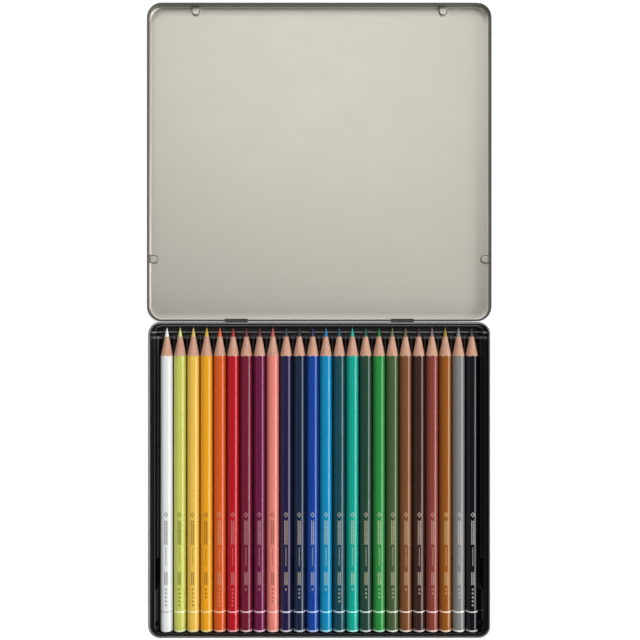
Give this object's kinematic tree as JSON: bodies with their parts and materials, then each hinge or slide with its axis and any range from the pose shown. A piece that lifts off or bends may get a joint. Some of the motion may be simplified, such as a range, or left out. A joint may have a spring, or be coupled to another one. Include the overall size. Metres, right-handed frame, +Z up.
{
  "type": "colored pencil tin",
  "caption": "Flat square hinged metal tin, lying open, with a formed tray that holds one row of sharpened colored pencils.",
  "frame": {"origin": "middle of the underside of the tin's base", "axes": "+Z up, +Y from the base towards the hinge and the open lid, +X across the row of pencils towards the black pencil"},
  "size_m": [0.1986, 0.3646, 0.011],
  "materials": {
    "base_tinplate": "dark gloss lacquer outside, bare bright tin inside and on the rolled rim",
    "lid_tinplate": "bare tin inside, dark gloss lacquer outside",
    "tray_plastic": "thermoformed, glossy",
    "white_casing": "gloss white lacquer over cedar, bare wood at the cone",
    "white_lead": "waxy matte pigment",
    "lime_casing": "gloss lime lacquer over cedar, bare wood at the cone",
    "lime_lead": "waxy matte pigment",
    "yellow_casing": "gloss yellow lacquer over cedar, bare wood at the cone",
    "yellow_lead": "waxy matte pigment",
    "golden_yellow_casing": "gloss golden yellow lacquer over cedar, bare wood at the cone",
    "golden_yellow_lead": "waxy matte pigment",
    "orange_casing": "gloss orange lacquer over cedar, bare wood at the cone",
    "orange_lead": "waxy matte pigment",
    "red_casing": "gloss red lacquer over cedar, bare wood at the cone",
    "red_lead": "waxy matte pigment",
    "burgundy_casing": "gloss burgundy lacquer over cedar, bare wood at the cone",
    "burgundy_lead": "waxy matte pigment",
    "magenta_casing": "gloss magenta lacquer over cedar, bare wood at the cone",
    "magenta_lead": "waxy matte pigment",
    "salmon_casing": "gloss salmon lacquer over cedar, bare wood at the cone",
    "salmon_lead": "waxy matte pigment",
    "violet_casing": "gloss violet lacquer over cedar, bare wood at the cone",
    "violet_lead": "waxy matte pigment",
    "navy_casing": "gloss navy lacquer over cedar, bare wood at the cone",
    "navy_lead": "waxy matte pigment",
    "blue_casing": "gloss blue lacquer over cedar, bare wood at the cone",
    "blue_lead": "waxy matte pigment",
    "light_blue_casing": "gloss light blue lacquer over cedar, bare wood at the cone",
    "light_blue_lead": "waxy matte pigment",
    "petrol_casing": "gloss petrol lacquer over cedar, bare wood at the cone",
    "petrol_lead": "waxy matte pigment",
    "turquoise_casing": "gloss turquoise lacquer over cedar, bare wood at the cone",
    "turquoise_lead": "waxy matte pigment",
    "dark_green_casing": "gloss dark green lacquer over cedar, bare wood at the cone",
    "dark_green_lead": "waxy matte pigment",
    "green_casing": "gloss green lacquer over cedar, bare wood at the cone",
    "green_lead": "waxy matte pigment",
    "olive_casing": "gloss olive lacquer over cedar, bare wood at the cone",
    "olive_lead": "waxy matte pigment",
    "brown_casing": "gloss brown lacquer over cedar, bare wood at the cone",
    "brown_lead": "waxy matte pigment",
    "dark_brown_casing": "gloss dark brown lacquer over cedar, bare wood at the cone",
    "dark_brown_lead": "waxy matte pigment",
    "red_brown_casing": "gloss red brown lacquer over cedar, bare wood at the cone",
    "red_brown_lead": "waxy matte pigment",
    "ochre_casing": "gloss ochre lacquer over cedar, bare wood at the cone",
    "ochre_lead": "waxy matte pigment",
    "grey_casing": "gloss grey lacquer over cedar, bare wood at the cone",
    "grey_lead": "waxy matte pigment",
    "black_casing": "gloss black lacquer over cedar, bare wood at the cone",
    "black_lead": "waxy matte pigment"
  },
  "bodies": {
    "base": {"tin_base": "base_tinplate"},
    "lid": {"tin_lid": "lid_tinplate"},
    "tray": {"pencil_tray": "tray_plastic"},
    "white_pencil": {"white_pencil_casing": "white_casing", "white_pencil_lead": "white_lead"},
    "lime_pencil": {"lime_pencil_casing": "lime_casing", "lime_pencil_lead": "lime_lead"},
    "yellow_pencil": {"yellow_pencil_casing": "yellow_casing", "yellow_pencil_lead": "yellow_lead"},
    "golden_yellow_pencil": {"golden_yellow_pencil_casing": "golden_yellow_casing", "golden_yellow_pencil_lead": "golden_yellow_lead"},
    "orange_pencil": {"orange_pencil_casing": "orange_casing", "orange_pencil_lead": "orange_lead"},
    "red_pencil": {"red_pencil_casing": "red_casing", "red_pencil_lead": "red_lead"},
    "burgundy_pencil": {"burgundy_pencil_casing": "burgundy_casing", "burgundy_pencil_lead": "burgundy_lead"},
    "magenta_pencil": {"magenta_pencil_casing": "magenta_casing", "magenta_pencil_lead": "magenta_lead"},
    "salmon_pencil": {"salmon_pencil_casing": "salmon_casing", "salmon_pencil_lead": "salmon_lead"},
    "violet_pencil": {"violet_pencil_casing": "violet_casing", "violet_pencil_lead": "violet_lead"},
    "navy_pencil": {"navy_pencil_casing": "navy_casing", "navy_pencil_lead": "navy_lead"},
    "blue_pencil": {"blue_pencil_casing": "blue_casing", "blue_pencil_lead": "blue_lead"},
    "light_blue_pencil": {"light_blue_pencil_casing": "light_blue_casing", "light_blue_pencil_lead": "light_blue_lead"},
    "petrol_pencil": {"petrol_pencil_casing": "petrol_casing", "petrol_pencil_lead": "petrol_lead"},
    "turquoise_pencil": {"turquoise_pencil_casing": "turquoise_casing", "turquoise_pencil_lead": "turquoise_lead"},
    "dark_green_pencil": {"dark_green_pencil_casing": "dark_green_casing", "dark_green_pencil_lead": "dark_green_lead"},
    "green_pencil": {"green_pencil_casing": "green_casing", "green_pencil_lead": "green_lead"},
    "olive_pencil": {"olive_pencil_casing": "olive_casing", "olive_pencil_lead": "olive_lead"},
    "brown_pencil": {"brown_pencil_casing": "brown_casing", "brown_pencil_lead": "brown_lead"},
    "dark_brown_pencil": {"dark_brown_pencil_casing": "dark_brown_casing", "dark_brown_pencil_lead": "dark_brown_lead"},
    "red_brown_pencil": {"red_brown_pencil_casing": "red_brown_casing", "red_brown_pencil_lead": "red_brown_lead"},
    "ochre_pencil": {"ochre_pencil_casing": "ochre_casing", "ochre_pencil_lead": "ochre_lead"},
    "grey_pencil": {"grey_pencil_casing": "grey_casing", "grey_pencil_lead": "grey_lead"},
    "black_pencil": {"black_pencil_casing": "black_casing", "black_pencil_lead": "black_lead"}
  },
  "joints": [
    {"name": "lid_hinge", "type": "hinge", "parent": "base", "child": "lid", "pos_m": [0, 0.09125, 0.0065], "axis": [-1, 0, 0], "range_deg": [-180, 0]},
    {"name": "tray_lift", "type": "slide", "parent": "base", "child": "tray", "axis": [0, 0, 1], "range_m": [0, 0.03]},
    {"name": "white_pencil_lift", "type": "slide", "parent": "tray", "child": "white_pencil", "axis": [0, 0, 1], "range_m": [0, 0.03]},
    {"name": "lime_pencil_lift", "type": "slide", "parent": "tray", "child": "lime_pencil", "axis": [0, 0, 1], "range_m": [0, 0.03]},
    {"name": "yellow_pencil_lift", "type": "slide", "parent": "tray", "child": "yellow_pencil", "axis": [0, 0, 1], "range_m": [0, 0.03]},
    {"name": "golden_yellow_pencil_lift", "type": "slide", "parent": "tray", "child": "golden_yellow_pencil", "axis": [0, 0, 1], "range_m": [0, 0.03]},
    {"name": "orange_pencil_lift", "type": "slide", "parent": "tray", "child": "orange_pencil", "axis": [0, 0, 1], "range_m": [0, 0.03]},
    {"name": "red_pencil_lift", "type": "slide", "parent": "tray", "child": "red_pencil", "axis": [0, 0, 1], "range_m": [0, 0.03]},
    {"name": "burgundy_pencil_lift", "type": "slide", "parent": "tray", "child": "burgundy_pencil", "axis": [0, 0, 1], "range_m": [0, 0.03]},
    {"name": "magenta_pencil_lift", "type": "slide", "parent": "tray", "child": "magenta_pencil", "axis": [0, 0, 1], "range_m": [0, 0.03]},
    {"name": "salmon_pencil_lift", "type": "slide", "parent": "tray", "child": "salmon_pencil", "axis": [0, 0, 1], "range_m": [0, 0.03]},
    {"name": "violet_pencil_lift", "type": "slide", "parent": "tray", "child": "violet_pencil", "axis": [0, 0, 1], "range_m": [0, 0.03]},
    {"name": "navy_pencil_lift", "type": "slide", "parent": "tray", "child": "navy_pencil", "axis": [0, 0, 1], "range_m": [0, 0.03]},
    {"name": "blue_pencil_lift", "type": "slide", "parent": "tray", "child": "blue_pencil", "axis": [0, 0, 1], "range_m": [0, 0.03]},
    {"name": "light_blue_pencil_lift", "type": "slide", "parent": "tray", "child": "light_blue_pencil", "axis": [0, 0, 1], "range_m": [0, 0.03]},
    {"name": "petrol_pencil_lift", "type": "slide", "parent": "tray", "child": "petrol_pencil", "axis": [0, 0, 1], "range_m": [0, 0.03]},
    {"name": "turquoise_pencil_lift", "type": "slide", "parent": "tray", "child": "turquoise_pencil", "axis": [0, 0, 1], "range_m": [0, 0.03]},
    {"name": "dark_green_pencil_lift", "type": "slide", "parent": "tray", "child": "dark_green_pencil", "axis": [0, 0, 1], "range_m": [0, 0.03]},
    {"name": "green_pencil_lift", "type": "slide", "parent": "tray", "child": "green_pencil", "axis": [0, 0, 1], "range_m": [0, 0.03]},
    {"name": "olive_pencil_lift", "type": "slide", "parent": "tray", "child": "olive_pencil", "axis": [0, 0, 1], "range_m": [0, 0.03]},
    {"name": "brown_pencil_lift", "type": "slide", "parent": "tray", "child": "brown_pencil", "axis": [0, 0, 1], "range_m": [0, 0.03]},
    {"name": "dark_brown_pencil_lift", "type": "slide", "parent": "tray", "child": "dark_brown_pencil", "axis": [0, 0, 1], "range_m": [0, 0.03]},
    {"name": "red_brown_pencil_lift", "type": "slide", "parent": "tray", "child": "red_brown_pencil", "axis": [0, 0, 1], "range_m": [0, 0.03]},
    {"name": "ochre_pencil_lift", "type": "slide", "parent": "tray", "child": "ochre_pencil", "axis": [0, 0, 1], "range_m": [0, 0.03]},
    {"name": "grey_pencil_lift", "type": "slide", "parent": "tray", "child": "grey_pencil", "axis": [0, 0, 1], "range_m": [0, 0.03]},
    {"name": "black_pencil_lift", "type": "slide", "parent": "tray", "child": "black_pencil", "axis": [0, 0, 1], "range_m": [0, 0.03]}
  ]
}
